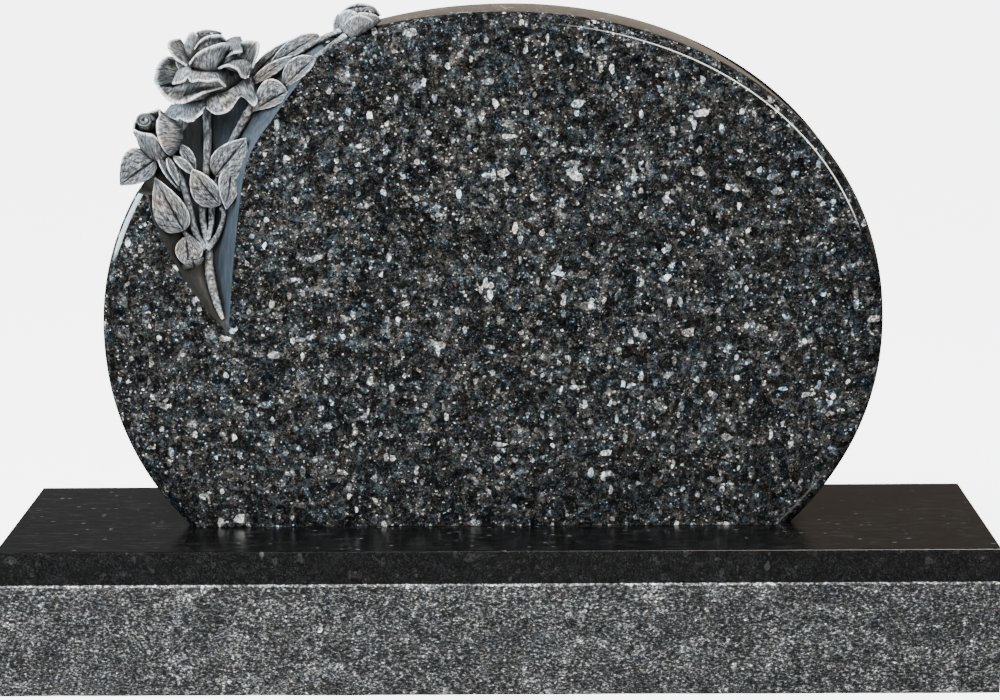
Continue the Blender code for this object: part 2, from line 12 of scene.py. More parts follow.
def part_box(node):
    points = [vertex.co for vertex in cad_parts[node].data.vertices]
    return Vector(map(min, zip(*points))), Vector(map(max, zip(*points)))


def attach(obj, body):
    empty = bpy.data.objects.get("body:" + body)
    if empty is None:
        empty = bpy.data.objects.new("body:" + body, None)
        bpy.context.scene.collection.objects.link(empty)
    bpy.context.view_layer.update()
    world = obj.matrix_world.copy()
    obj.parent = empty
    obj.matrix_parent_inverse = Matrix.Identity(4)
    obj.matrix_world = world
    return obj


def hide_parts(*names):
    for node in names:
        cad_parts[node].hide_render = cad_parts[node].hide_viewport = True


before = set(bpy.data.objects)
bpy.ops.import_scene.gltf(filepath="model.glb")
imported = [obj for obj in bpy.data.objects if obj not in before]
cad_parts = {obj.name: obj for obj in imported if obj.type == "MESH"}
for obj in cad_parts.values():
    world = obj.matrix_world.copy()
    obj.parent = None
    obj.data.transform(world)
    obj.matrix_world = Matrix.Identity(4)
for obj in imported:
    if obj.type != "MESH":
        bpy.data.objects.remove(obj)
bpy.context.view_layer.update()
base_low, base_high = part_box("base")

# The base, as in the solids
BASE_WIDTH = 1.370
BASE_DEPTH = 0.320
BASE_HEIGHT = float(base_high[2])
MARGIN_HEIGHT = 0.047
BASE_ARRIS = 0.0015
ROCK_PROUD = 0.0035
ROCK_WAVE = 0.0022
ROCK_CELL = 0.0032

# The headstone, as in the solids; its back edge alone stands further right here
STONE_HALF_WIDTH = 0.541
STONE_HALF_HEIGHT = 0.4367
STONE_POWER = 2.085
STONE_TILT = 0.042
STONE_CENTRE = (-0.0057, BASE_HEIGHT + 0.2799)
STONE_THICKNESS = 0.200
STONE_BACK = BASE_DEPTH / 2 - 0.006
STONE_FRONT = STONE_BACK - STONE_THICKNESS
STONE_FOOT = BASE_HEIGHT + 0.0003
ROUND_OVER = 0.0195
BACK_SHIFT = 0.006

# The spray, drawn in millimetres from the hollow's tip, as in the solids
UNIT = 0.001
SPRAY_ANGLE = math.radians(141.0)
SPRAY_TIP = (0.0718, -0.2545)
SLANT_RIGHT = 0.165
SLANT_UP = 0.11
HOLLOW_DEPTH = 50.0
HOLLOW_RISE = 105.0
PETAL_WALL = 0.0034
LEAF_WALL = 0.0032
LEAF_POINT = 1.55

# The camera at the photograph's place, fitted to the stone's edges; angles in radians
CAMERA_PLACE = (0.04787, -3.06356, 1.13619)
CAMERA_PITCH = 0.22042
CAMERA_YAW = 0.0140
CAMERA_ROLL = 0.00892
CAMERA_LENS = 80.494
SENSOR_WIDTH = 36.0

# Petals: bends of the root, bends of the lip (right, up, forward), belly and lip curl
BLOOM_PETALS = (
    # the skirt, left and right of its notch
    (((-66, 309, -30), (-50, 311, -22), (-36, 313, -18), (-19, 316, -20)),
     ((-78, 296, -30), (-70, 292, -24), (-60, 288, -18), (-54, 290, -15), (-50, 287, -10),
      (-45, 285, -8), (-39, 286, -7), (-33, 290, -8), (-27, 297, -11), (-20, 306, -15)), 5, 3),
    (((-20, 318, -22), (-6, 323, -18), (8, 325, -18), (22, 333, -22), (34, 342, -28),
      (46, 348, -34)),
     ((-20, 306, -15), (-13, 299, -9), (-5, 295, -5), (7, 297, -4), (15, 302, -6),
      (21, 310, -10), (26, 317, -15), (31, 320, -18), (37, 317, -14), (41, 311, -9),
      (45, 306, -7), (50, 308, -9), (51, 317, -16), (47, 332, -26)), 6, 3),
    # the great outer petals: the left wall and the bowl below it
    (((-50, 366, -38), (-46, 356, -38), (-50, 346, -38), (-58, 340, -36)),
     ((-58, 372, -28), (-70, 374, -22), (-81, 365, -14), (-86, 352, -10), (-88, 342, -10),
      (-84, 334, -10)), -4, 4),
    (((-66, 343, -42), (-46, 342, -48), (-20, 342, -48), (0, 342, -46)),
     ((-86, 338, -12), (-80, 327, -6), (-72, 317, -3), (-60, 311, 0), (-46, 312, 2),
      (-32, 319, 0), (-20, 325, -5), (-6, 329, -14), (6, 332, -26)), -8, 5),
    # the outer petals at the right
    (((22, 362, -34), (34, 356, -30), (44, 354, -28)),
     ((31, 376, -28), (31, 392, -24), (39, 395, -20), (48, 395, -18), (56, 392, -16),
      (55, 381, -16), (50, 368, -18), (46, 358, -20)), -3, 3),
    (((14, 397, -34), (22, 400, -34), (33, 401, -32)),
     ((8, 367, -14), (13, 373, -9), (20, 377, -7), (27, 378, -8), (33, 379, -13)), 4, 4),
    (((8, 363, -22), (22, 370, -22), (34, 371, -20), (46, 362, -18)),
     ((-2, 357, -8), (6, 360, -2), (13, 361, 1), (20, 358, 2), (26, 354, 0),
      (31, 345, -6), (38, 344, -14)), 5, 4),
    # the upper left petals
    (((-36, 364, -24), (-40, 374, -30), (-42, 384, -34)),
     ((-42, 361, -10), (-50, 366, -10), (-58, 371, -11), (-64, 379, -13), (-68, 388, -17),
      (-66, 395, -21), (-59, 398, -24), (-49, 399, -28)), 3, 3),
    (((-40, 360, -14), (-38, 364, -16)),
     ((-53, 355, -14), (-57, 364, -16), (-58, 371, -18)), 1, 0),
    (((-36, 368, -22), (-28, 374, -20)),
     ((-44, 384, -18), (-44, 393, -17), (-40, 402, -17), (-34, 408, -18), (-28, 405, -18),
      (-25, 397, -17)), 7, 1),
    # the cup: its back, the second lip and the front wall with its rolled lip
    (((-22, 384, -30), (6, 386, -30)),
     ((-30, 404, -28), (-26, 409, -28), (-14, 411, -27), (-2, 409, -27), (6, 404, -27),
      (13, 396, -28)), 3, 1),
    (((-26, 374, -20), (-8, 372, -16), (8, 374, -20)),
     ((-32, 384, -14), (-26, 393, -9), (-17, 400, -6), (-4, 403, -5), (6, 402, -7),
      (13, 394, -14)), 4, 5),
    (((-30, 354, -16), (-14, 350, -10), (0, 352, -16)),
     ((-40, 364, -8), (-31, 376, 0), (-20, 383, 4), (-5, 389, 5), (8, 392, 1),
      (17, 391, -8)), 8, 7),
    # the collar under the cup
    (((-56, 354, -16), (-42, 361, -12), (-32, 356, -10), (-14, 355, -8), (2, 355, -12)),
     ((-64, 337, -4), (-54, 338, 1), (-46, 341, 3), (-42, 345, 0), (-38, 339, 4),
      (-28, 341, 5), (-16, 339, 7), (-2, 341, 5), (9, 332, -6)), 5, 4),
)
LEFT_BUD_PETALS = (
    (((-110, 274, -34), (-98, 272, -34), (-86, 274, -34)),
     ((-119, 276, -22), (-117, 286, -20), (-110, 292, -19), (-102, 297, -19),
      (-92, 301, -20), (-82, 304, -22)), 2, 3),
    (((-113, 262, -34), (-111, 252, -36), (-103, 241, -36), (-92, 234, -32),
      (-80, 231, -30), (-70, 235, -30)),
     ((-120, 274, -24), (-113, 274, -18), (-106, 272, -14), (-99, 271, -11), (-92, 269, -9),
      (-85, 262, -8)), 13, 4),
    (((-72, 292, -36), (-60, 286, -36), (-53, 276, -36), (-52, 266, -36), (-54, 256, -34),
      (-60, 246, -32), (-68, 238, -30)),
     ((-84, 304, -24), (-83, 295, -15), (-87, 287, -9), (-88, 278, -5), (-87, 269, -4),
      (-85, 260, -5), (-81, 252, -8), (-76, 245, -14), (-69, 239, -24)), 14, 2),
)
RIGHT_BUD_PETALS = (
    (((172, 412, -30), (200, 420, -28)),
     ((161, 423, -28), (168, 432, -24), (178, 440, -20), (190, 444, -17), (202, 443, -16),
      (213, 438, -16), (222, 427, -18)), 4, 3),
    (((160, 404, -32), (164, 399, -24), (174, 395, -16)),
     ((159, 414, -32), (164, 427, -22), (176, 435, -12), (188, 431, -5), (192, 418, -2),
      (187, 401, -6)), 8, 2),
    (((174, 396, -14), (188, 400, -8), (203, 409, -6), (216, 417, -10)),
     ((183, 427, -8), (193, 431, -3), (204, 430, -2), (214, 427, -7), (222, 421, -14)), 8, 2),
    (((180, 397, -8), (192, 403, -5), (202, 409, -5)),
     ((172, 417, -8), (180, 425, -1), (191, 428, 3), (202, 425, 3), (210, 420, 0)), 5, 2),
)

# The turned-under edge of the low leaf, drawn as a petal
LEAF_CURLS = (
    (((-60, 88, -14), (-49, 95, -10), (-40, 94, -10), (-30, 99, -13)),
     ((-58, 82, -15), (-48, 84, -17), (-38, 87, -18), (-31, 96, -17)), 3, 0),
)

# Leaves: base right, up, forward, tip right, up, forward, half widths to the left and right
# of the way the leaf points, the widest place along it, and how far its middle stands out
LEAVES = (
    (-90, 234, -34, -141, 199, -24, 16, 33, 0.38, 5),
    (-55, 136, -16, -92, 210, -6, 30, 18, 0.32, 5),
    (-4, 171, -18, -41, 221, -8, 24, 13, 0.42, 5),
    (-9, 211, -22, 35, 263, -10, 22, 26, 0.36, 4),
    (14, 223, -19, 4, 165, -10, 15, 16, 0.36, 4),
    (-53, 127, -20, -51, 86, -12, 22, 17, 0.46, 4),
    (42, 345, -46, 100, 395, -28, 10, 15, 0.45, 4),
    (44, 337, -34, 102, 374, -14, 9, 7, 0.45, 4),
    (70, 360, -30, 138, 402, -16, 15, 7, 0.55, 4),
    (87, 331, -16, 131, 371, 0, 21, 7, 0.52, 4),
    (45, 300, -22, 93, 326, -6, 28, 9, 0.66, 4),
    (-86, 238, -22, -58, 191, -24, 5, 6, 0.40, 2),
    (-74, 237, -16, -59, 198, -20, 5, 5, 0.40, 2),
    (-66, 239, -18, -38, 214, -18, 7, 5, 0.50, 3),
    (-56, 254, -26, -37, 217, -26, 10, 6, 0.45, 3),
    (166, 399, -16, 164, 430, -18, 8, 6, 0.45, 3),
)

# Stems: right, up, forward, radius at each bend
STEMS = (
    ((-17, 315, -44, 6.0), (-18, 250, -36, 6.0), (-21, 215, -33, 5.8), (-28, 165, -32, 5.2),
     (-27, 138, -29, 5.0), (-24, 112, -27, 4.5)),
    ((48, 310, -30, 6.5), (33, 287, -26, 6.5), (20, 264, -27, 6.2), (0, 220, -33, 5.4),
     (-14, 172, -32, 4.8), (-17, 145, -29, 4.6), (-22, 122, -27, 4.2)),
    ((-68, 238, -28, 5.0), (-54, 200, -24, 5.0), (-46, 165, -22, 4.8), (-40, 135, -23, 4.8),
     (-28, 110, -25, 4.6)),
    ((-58, 138, -23, 3.6), (-50, 128, -21, 3.6), (-38, 119, -22, 3.8), (-27, 110, -25, 4.0)),
    ((-3, 168, -22, 3.6), (1, 158, -22, 3.6), (-4, 140, -24, 3.8), (-12, 124, -24, 4.2),
     (-24, 110, -25, 4.4)),
    ((-24, 122, -31, 6.2), (-22, 100, -29, 6.6), (-22, 80, -24, 7.0), (-19, 60, -19, 7.0),
     (-15, 40, -13, 6.2), (-11, 25, -9, 4.8), (-6, 12, -5, 2.6)),
    ((60, 345, -38, 3.6), (112, 379, -18, 3.8), (138, 395, -13, 3.8), (168, 408, -14, 4.2)),
    ((90, 346, -26, 3.8), (131, 371, -6, 3.8), (148, 384, -4, 3.8), (174, 401, -10, 4.4)),
)

# Masses that carry the carving: centre right, up, forward, half sizes right, up, deep, turn
MASSES = (
    (-14, 342, -76, 52, 38, 26, 0),
    (-52, 274, -62, 18, 20, 16, 0),
    (-12, 376, -48, 26, 26, 22, 0),
    (-82, 260, -42, 22, 30, 18, 25),
    (-98, 284, -30, 16, 14, 16, 20),
    (-109, 226, -46, 23, 15, 14, 0),
    (192, 417, -26, 28, 19, 18, 20),
    (192, 429, -22, 25, 12, 13, 15),
    (26, 376, -48, 24, 22, 14, 0),
    (75, 352, -52, 50, 16, 14, 40),
    (108, 352, -30, 26, 8, 16, 42),
    (62, 316, -34, 26, 10, 16, 30),
    (128, 382, -30, 56, 6, 10, 30),
)

# Swirls at the hearts: centre right, up, forward, half width, half height, ridge radius
SWIRLS = (
    (-10, 404, -20, 16, 4, 1.7),
    (-103, 288, -12, 12, 9, 2.2),
    (204, 431, -6, 11, 7, 1.8),
)
SWIRL_TURNS = 2.2

# Crystals: turn, size of the cell, tone's range, share of bright ones, how bright they are,
# and their share in the tint
CRYSTALS = (
    ((0.2, 0.5, 0.4), (0.0180, 0.0130, 0.0100), 1.2, 0.032, 2.9, 0.30),
    ((0.9, -0.7, -0.7), (0.0066, 0.0090, 0.0120), 1.2, 0.034, 3.3, 0.30),
    ((-0.6, 0.3, 0.9), (0.0062, 0.0044, 0.0072), 1.3, 0.036, 3.0, 0.20),
    ((0.3, 1.0, -0.4), (0.0036, 0.0042, 0.0030), 1.4, 0.044, 2.9, 0.10),
    ((-0.5, 0.4, 0.5), (0.0021, 0.0024, 0.0020), 1.3, 0.055, 2.8, 0.06),
    ((0.4, 1.2, 0.1), (0.0011, 0.0012, 0.0014), 0.8, 0.050, 2.2, 0.04),
)
RAGGED = 0.0015
FLAKE_EDGE = (0.56, 0.70)
BRIGHTEST = 0.93
# Stops of the crystals' tint, from blue through grey to cream
TINTS = ((0.0, (0.62, 0.87, 1.07)), (0.22, (0.80, 0.95, 1.03)), (0.5, (0.95, 0.98, 0.98)),
         (0.78, (0.98, 0.98, 0.95)), (1.0, (1.06, 0.98, 0.87)))

# Darkness, spread of the tones, share of the tint and roughness of each granite
POLISHED = (0.0138, 0.98, 0.85, 0.05)
ROCK_FACED = (0.038, 0.40, 0.3, 0.85)
DARK = (0.0056, 0.36, 0.4, 0.27)
STONE_IOR = 1.5
FOLD_BLACK = (0.004, 0.004, 0.004, 1.0)

# What polished stone mirrors, by the way to it: x right, y away from the camera, z up
HALL_DIM = (0.05, 0.05, 0.05, 1.0)
HALL_GREY = (0.28, 0.28, 0.28, 1.0)
HALL_BROWN = (0.36, 0.30, 0.245, 1.0)
WINDOW = (24.0, 30.0, 36.0, 1.0)
WINDOW_SIDES = ((0, -0.62, -0.70), (2, 0.05, 0.11), (2, 0.80, 0.66), (1, 0.42, 0.22),
                (1, -0.56, -0.44))
LAMP_LINE = (46.0, 44.0, 40.0, 1.0)
SKY_STRENGTH = 0.62
WHITE_TO_CAMERA = 5.0

# The hollow's edges: up, then right, from the tip to past the outline
HOLLOW_LEFT = ((-6, -1), (25, -28), (70, -58), (112, -80), (155, -99), (190, -106),
               (215, -150), (500, -260))
HOLLOW_RIGHT = ((-6, 1), (40, 5), (100, 12), (160, 20), (220, 31), (255, 46), (292, 73),
                (327, 99), (370, 133), (397, 168), (420, 228), (500, 330))


def smooth_step(low, high, value):
    """0 below low, 1 above high, an S curve between."""
    share = np.clip((value - low) / (high - low), 0.0, 1.0)
    return share * share * (3.0 - 2.0 * share)


def spline(points, count):
    """A smooth curve through rows of numbers, read at even steps."""
    rows = np.array(points, dtype=float)
    ends = np.vstack([2 * rows[0] - rows[1], rows, 2 * rows[-1] - rows[-2]])
    place = np.linspace(0.0, len(rows) - 1.0, count)
    start = np.minimum(place.astype(int), len(rows) - 2)
    share = (place - start)[:, None]
    a, b, c, d = (ends[start + k] for k in range(4))
    return 0.5 * (2 * b + (c - a) * share + (2 * a - 5 * b + 4 * c - d) * share ** 2
                  + (3 * b - 3 * c + d - a) * share ** 3)


def lattice_noise(u, v, seed):
    """Smooth noise from -1 to 1: random heights at whole numbers, eased between them."""
    low_u = np.floor(u)
    low_v = np.floor(v)
    ease_u = smooth_step(0.0, 1.0, u - low_u)
    ease_v = smooth_step(0.0, 1.0, v - low_v)

    def height(i, j):
        wild = np.sin(i * 127.1 + j * 311.7 + seed * 74.7) * 43758.5453
        return 2.0 * (wild - np.floor(wild)) - 1.0

    below = height(low_u, low_v) * (1 - ease_u) + height(low_u + 1, low_v) * ease_u
    above = height(low_u, low_v + 1) * (1 - ease_u) + height(low_u + 1, low_v + 1) * ease_u
    return below * (1 - ease_v) + above * ease_v


def make_object(name, points, faces, corners=None):
    """A mesh object from points and faces; corners holds a UV pair for each face corner."""
    mesh = bpy.data.meshes.new(name)
    mesh.from_pydata(points.tolist(), [], faces)
    if corners is not None:
        layer = mesh.uv_layers.new(name="along")
        layer.data.foreach_set("uv", np.asarray(corners, dtype=np.float32).ravel())
    mesh.shade_smooth()
    thing = bpy.data.objects.new(name, mesh)
    bpy.context.scene.collection.objects.link(thing)
    return thing


def grid_quads(rows, columns, start=0, closed=False):
    """Quads of a grid counted row by row, and the UV of each corner: u across, v along."""
    across = columns if closed else columns - 1
    row, column = np.meshgrid(np.arange(rows - 1), np.arange(across), indexing="ij")
    corner_rows = np.stack([row, row, row + 1, row + 1], axis=-1).reshape(-1, 4)
    corner_columns = np.stack([column, column + 1, column + 1, column], axis=-1).reshape(-1, 4)
    quads = start + corner_rows * columns + corner_columns % columns
    uvs = np.stack([corner_columns / across, corner_rows / (rows - 1)], axis=-1)
    return quads, uvs.reshape(-1, 2)


def joined_sheets(name, grids):
    """One object from many open grids of points."""
    points = []
    quads = []
    uvs = []
    start = 0
    for grid in grids:
        rows, columns, _ = grid.shape
        faces, corners = grid_quads(rows, columns, start)
        points.append(grid.reshape(-1, 3))
        quads.append(faces)
        uvs.append(corners)
        start += rows * columns
    return make_object(name, np.concatenate(points), np.concatenate(quads).tolist(),
                       np.concatenate(uvs))


def joined_tubes(name, tubes):
    """One object from closed rods, each a grid of rings with both ends capped."""
    points = []
    faces = []
    uvs = []
    start = 0
    for grid in tubes:
        rows, columns, _ = grid.shape
        quads, corners = grid_quads(rows, columns, start, closed=True)
        first = list(range(start, start + columns))
        last = list(range(start + (rows - 1) * columns, start + rows * columns))
        faces += quads.tolist() + [first[::-1], last]
        uvs += [corners, np.zeros((columns, 2)), np.ones((columns, 2))]
        points.append(grid.reshape(-1, 3))
        start += rows * columns
    return make_object(name, np.concatenate(points), faces, np.concatenate(uvs))


def outline_point(angle, inset=0.0):
    """Right and up of the headstone's outline, moved in square to its edge by the inset."""
    power = 2.0 / STONE_POWER

    def raw(turn):
        across = STONE_HALF_WIDTH * np.sign(np.cos(turn)) * np.abs(np.cos(turn)) ** power
        along = STONE_HALF_HEIGHT * np.sign(np.sin(turn)) * np.abs(np.sin(turn)) ** power
        right = across * math.cos(STONE_TILT) - along * math.sin(STONE_TILT)
        up = across * math.sin(STONE_TILT) + along * math.cos(STONE_TILT)
        return np.stack([STONE_CENTRE[0] + right, STONE_CENTRE[1] + up], axis=-1)

    step = 0.004
    way = raw(angle + step) - raw(angle - step)
    way = way / np.linalg.norm(way, axis=-1, keepdims=True)
    inward = np.stack([-way[..., 1], way[..., 0]], axis=-1)
    return raw(angle) + inset * inward


def carved(right, up, forward):
    """World points from the spray's millimetres; what stands out leans right and up."""
    corner = outline_point(np.array([SPRAY_ANGLE]))[0]
    right, up, forward = np.broadcast_arrays(right, up, forward)
    x = corner[0] + SPRAY_TIP[0] + UNIT * (right + SLANT_RIGHT * forward)
    y = STONE_FRONT - UNIT * forward
    z = corner[1] + SPRAY_TIP[1] + UNIT * (up + SLANT_UP * forward)
    return np.stack([x, y, z], axis=-1)


def petal_grid(row, rows=18, columns=38):
    """A petal: lofted from its root to its lip, bellied out between them, its last part curled
    forward and finely folded along the way it grows."""
    root, lip, belly, curl = row
    along = np.linspace(0.0, 1.0, rows)[:, None, None]
    across = np.linspace(-1.0, 1.0, columns)[None, :]
    rim = spline(lip, columns)[None, :, :]
    points = spline(root, columns)[None, :, :] * (1.0 - along) + rim * along
    along = along[:, :, 0]
    rise = points[..., 2] + belly * np.sin(math.pi * along ** 0.8) * (1.0 - across ** 4)
    rise = rise + curl * smooth_step(0.72, 1.0, along)
    seed = root[0][0] + lip[0][1]
    folds = lattice_noise(across * 5.0 + seed, along * 1.3, seed) * smooth_step(0.1, 0.6, along)
    return carved(points[..., 0], points[..., 1], rise + 0.6 * folds)


def leaf_grid(row, rows=34, columns=19):
    """A leaf: an oval with a point, a groove along its middle and slanting side veins."""
    x0, z0, f0, x1, z1, f1, left, right, widest, rise = row
    along = np.linspace(0.004, 0.996, rows)[:, None]
    across = np.linspace(-1.0, 1.0, columns)[None, :]
    length = math.hypot(x1 - x0, z1 - z0)
    way = ((x1 - x0) / length, (z1 - z0) / length)
    belly = LEAF_POINT * widest
    taper = LEAF_POINT * (1.0 - widest)
    peak = widest ** belly * (1.0 - widest) ** taper
    width = along ** belly * (1.0 - along) ** taper / peak
    half = np.where(across < 0.0, right, left)
    side = across * half * width
    x = x0 + (x1 - x0) * along - way[1] * side
    z = z0 + (z1 - z0) * along + way[0] * side
    forward = f0 + (f1 - f0) * along + rise * np.sin(math.pi * along)
    groove = 2.2 * np.exp(-(across / 0.09) ** 2) * width
    puff = (1.4 * np.abs(across) - 1.8 * across) * width
    vein = (along - 0.30 * np.abs(across)) * length / 9.0
    vein = np.abs(vein - np.round(vein))
    score = 0.8 * np.exp(-(vein / 0.14) ** 2) * smooth_step(0.05, 0.3, np.abs(across)) * width
    waves = 0.9 * lattice_noise(along * 4.0 + x0, across * 1.2, z0) * np.abs(across)
    edge = 1.0 * smooth_step(0.80, 1.0, np.abs(across)) * width
    return carved(x, z, forward - groove + puff - score + waves + edge)


def rod_grid(path, radius, sides=16, lumps=0.0):
    """A rod: rings of sides points about a path, each set square to the way it runs."""
    way = np.gradient(path, axis=0)
    way = way / np.linalg.norm(way, axis=1, keepdims=True)
    side = np.cross(way, np.array([0.0, 1.0, 0.0]))
    side = side / np.maximum(np.linalg.norm(side, axis=1, keepdims=True), 1e-6)
    out = np.cross(side, way)
    turn = np.linspace(0.0, 2 * math.pi, sides, endpoint=False)
    step = np.arange(len(path))[:, None]
    rough = 1.0 + lumps * lattice_noise(step * 0.55, 3.0 * np.cos(turn)[None, :], 5.0)
    size = (np.asarray(radius).reshape(-1, 1) * rough)[..., None]
    return (path[:, None, :] + size * (np.cos(turn)[None, :, None] * side[:, None, :]
                                       + np.sin(turn)[None, :, None] * out[:, None, :]))


def stem_grid(bends):
    """A stem through its bends, with a lumpy bark."""
    rows = spline(bends, 14 * len(bends))
    return rod_grid(carved(rows[:, 0], rows[:, 1], rows[:, 2]), rows[:, 3] * UNIT, lumps=0.09)


def swirl_grid(row):
    """The rolled petals at a heart: a spiral ridge that closes in and stands forward."""
    right, up, forward, half_width, half_height, radius = row
    turn = np.linspace(0.0, SWIRL_TURNS * 2 * math.pi, 70)
    size = 1.0 - 0.85 * turn / turn[-1]
    path = carved(right + half_width * size * np.cos(turn),
                  up + half_height * size * np.sin(turn), forward + 4.0 * (1.0 - size))
    return rod_grid(path, np.full(len(turn), radius * UNIT), sides=10)


def mass_grid(row, rows=30, columns=40):
    """A rounded mass: rings about an upright axis from pole to pole, turned and moved."""
    right, up, forward, half_right, half_up, half_deep, turn = row
    tall = np.linspace(0.02, math.pi - 0.02, rows)[:, None]
    around = np.linspace(0.0, 2 * math.pi, columns, endpoint=False)[None, :]
    x = half_right * np.sin(tall) * np.cos(around)
    z = half_up * np.cos(tall) + 0.0 * around
    deep = half_deep * np.sin(tall) * np.sin(around)
    lean = math.radians(turn)
    centre = carved(right, up, forward)
    offset = np.stack([x * math.cos(lean) - z * math.sin(lean), -deep,
                       x * math.sin(lean) + z * math.cos(lean)], axis=-1)
    return (centre + UNIT * offset)[::-1]


def thicken(thing, wall):
    """Give sheets a thickness with a rounded rim."""
    solid = thing.modifiers.new("wall", "SOLIDIFY")
    solid.thickness = wall
    solid.offset = 0.0
    soft = thing.modifiers.new("soft", "SUBSURF")
    soft.levels = 1
    soft.render_levels = 1


def add_boolean(thing, operation, other):
    """Cut with or join another object, which is then taken away."""
    modifier = thing.modifiers.new(operation.lower(), "BOOLEAN")
    modifier.operation = operation
    modifier.solver = "EXACT"
    modifier.material_mode = "TRANSFER"
    modifier.object = other
    bpy.context.view_layer.update()
    depsgraph = bpy.context.evaluated_depsgraph_get()
    mesh = bpy.data.meshes.new_from_object(thing.evaluated_get(depsgraph), depsgraph=depsgraph)
    thing.modifiers.clear()
    thing.data = mesh
    bpy.data.objects.remove(other, do_unlink=True)


def hollow_cutter():
    """The scoop: deepening from its tip upwards, its floor falling from both edges."""
    ups = np.linspace(-6.0, 500.0, 130)
    left_rows = spline(HOLLOW_LEFT, 400)
    right_rows = spline(HOLLOW_RIGHT, 400)
    left = np.interp(ups, left_rows[:, 0], left_rows[:, 1])[:, None]
    right = np.interp(ups, right_rows[:, 0], right_rows[:, 1])[:, None]
    deep = HOLLOW_DEPTH * (1.0 - np.exp(-np.maximum(ups, 0.0) / HOLLOW_RISE))[:, None] + 0.2
    across = np.linspace(-1.0, 1.0, 70)[None, :]
    x = left + (right - left) * (across + 1.0) / 2.0
    floor = -deep * (1.0 - np.abs(across) ** 3.0)
    bottom = carved(x, ups[:, None], floor)
    top = carved(x, ups[:, None], np.full_like(x, 60.0))
    rows, columns = x.shape
    count = rows * columns
    quads = grid_quads(rows, columns)[0].tolist()
    faces = quads + [[index + count for index in face[::-1]] for face in quads]
    start = np.arange(rows) * columns
    rim = list(range(columns)) + (start[1:] + columns - 1).tolist()
    rim += [int(start[-1]) + column for column in range(columns - 2, -1, -1)]
    rim += start[1:-1][::-1].tolist()
    faces += [[here, here + count, there + count, there]
              for here, there in zip(rim, rim[1:] + rim[:1])]
    cutter = make_object("hollow", np.concatenate([bottom.reshape(-1, 3), top.reshape(-1, 3)]),
                         faces)
    repair_normals(cutter)
    return cutter


def repair_normals(thing):
    """Turn every face outwards."""
    work = bmesh.new()
    work.from_mesh(thing.data)
    bmesh.ops.recalc_face_normals(work, faces=work.faces)
    work.to_mesh(thing.data)
    work.free()


def block(name, low, high):
    """A plain box between two corners, for a cut."""
    x, y, z = (np.array([low[k], high[k]]) for k in range(3))
    points = np.array([(a, b, c) for a in x for b in y for c in z])
    faces = [[0, 1, 3, 2], [4, 6, 7, 5], [0, 4, 5, 1], [2, 3, 7, 6], [0, 2, 6, 4], [1, 5, 7, 3]]
    thing = make_object(name, points, faces)
    repair_normals(thing)
    return thing


def make_slab(polished, cut_stone):
    """The headstone: the round-over's profile carried round the outline, cut flat at its foot
    and hollowed."""
    turn = np.linspace(0.0, 2 * math.pi, 360, endpoint=False)
    arc = np.linspace(0.0, math.pi / 2, 11)
    inset = np.concatenate([[ROUND_OVER + 0.004], ROUND_OVER * (1 - np.sin(arc)),
                            ROUND_OVER * (1 - np.cos(arc)), [ROUND_OVER + 0.004]])
    y = np.concatenate([[STONE_FRONT], STONE_FRONT + ROUND_OVER * (1 - np.cos(arc)),
                        STONE_BACK - ROUND_OVER * (1 - np.sin(arc)), [STONE_BACK]])
    rings = []
    for step, deep in zip(inset, y):
        flat = outline_point(turn, step)
        back = BACK_SHIFT * (deep - STONE_FRONT) / STONE_THICKNESS
        rings.append(np.stack([flat[:, 0] + back, np.full(len(turn), deep), flat[:, 1]], axis=-1))
    grid = np.array(rings)
    rows, columns, _ = grid.shape
    quads, _ = grid_quads(rows, columns, closed=True)
    faces = quads.tolist()
    faces.append(list(range(columns)))
    faces.append(list(range(rows * columns - 1, (rows - 1) * columns - 1, -1)))
    slab = make_object("headstone_slab", grid.reshape(-1, 3), faces)
    repair_normals(slab)
    slab.data.materials.append(polished)
    ground = block("ground", (-1.0, -1.0, -1.0), (1.0, 1.0, STONE_FOOT))
    ground.data.materials.append(polished)
    add_boolean(slab, "DIFFERENCE", ground)
    hollow = hollow_cutter()
    hollow.data.materials.append(cut_stone)
    add_boolean(slab, "DIFFERENCE", hollow)
    slab.data.shade_smooth()
    slab.data.set_sharp_from_angle(angle=math.radians(28.0))
    return slab


def rock_relief(run, up):
    """How far the rock face stands out: a broad slanting wave, lumps and broken grain."""
    wave = (0.5 * np.sin(9.0 * run + 21.0 * up) + 0.3 * np.sin(23.0 * run - 34.0 * up + 1.7)
            + 0.2 * np.sin(41.0 * run + 12.0 * up + 0.6))
    lean = run + 0.55 * up
    lumps = lattice_noise(lean * 26.0, (up - 0.2 * run) * 40.0, 1.0)
    chips = lattice_noise(lean * 75.0, up * 110.0, 2.0)
    grain = lattice_noise(run * 210.0, up * 240.0, 3.0)
    return ROCK_WAVE * wave + 0.0010 * lumps + 0.0007 * chips + 0.0004 * grain


